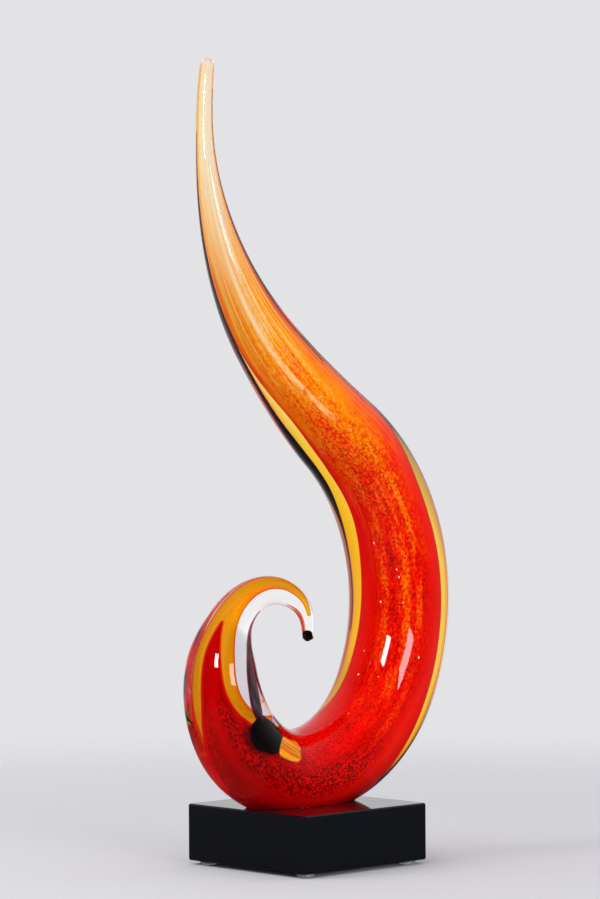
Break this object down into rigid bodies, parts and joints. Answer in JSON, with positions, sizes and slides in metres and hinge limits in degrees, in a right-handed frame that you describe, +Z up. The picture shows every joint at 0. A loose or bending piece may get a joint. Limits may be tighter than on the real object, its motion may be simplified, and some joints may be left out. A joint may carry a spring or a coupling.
{
  "type": "art glass sculpture on a block",
  "caption": "Free-standing flame-shaped glass rod with a curled hook, cased in clear glass over red and amber, glued to a square black crystal block on bumpers.",
  "frame": {"origin": "middle of the underside of the bounding box, on the surface the bumpers stand on", "axes": "+Z up; the flame lies in the XZ plane, its curled hook towards -X, its belly towards +X; the front is -Y, and the block's sides are square to X and Y"},
  "size_m": [0.2378, 0.12, 0.5634],
  "materials": {
    "clear_glass": "fire-polished clear crystal, refractive index about 1.5",
    "red_glass": "selenium red with fine orange and dark speckle drawn out along the rod",
    "amber_glass": "transparent amber, fading to cream towards the point",
    "aubergine_glass": "dark aubergine that looks black where it is thick",
    "black_crystal": "polished black crystal with fine bevelled edges",
    "cured_adhesive": "clear light-cured glue with small bubbles",
    "bumper_rubber": "clear soft polyurethane"
  },
  "bodies": {
    "root": {"clear_casing": "clear_glass", "red_core": "red_glass", "amber_body_skin": "amber_glass", "amber_hook_skin": "amber_glass", "amber_inlay": "amber_glass", "dark_body_streak": "aubergine_glass", "dark_hook_streak": "aubergine_glass", "adhesive_film": "cured_adhesive", "base_block": "black_crystal", "bumper_front_left": "bumper_rubber", "bumper_front_right": "bumper_rubber", "bumper_rear_left": "bumper_rubber", "bumper_rear_right": "bumper_rubber"}
  },
  "joints": []
}
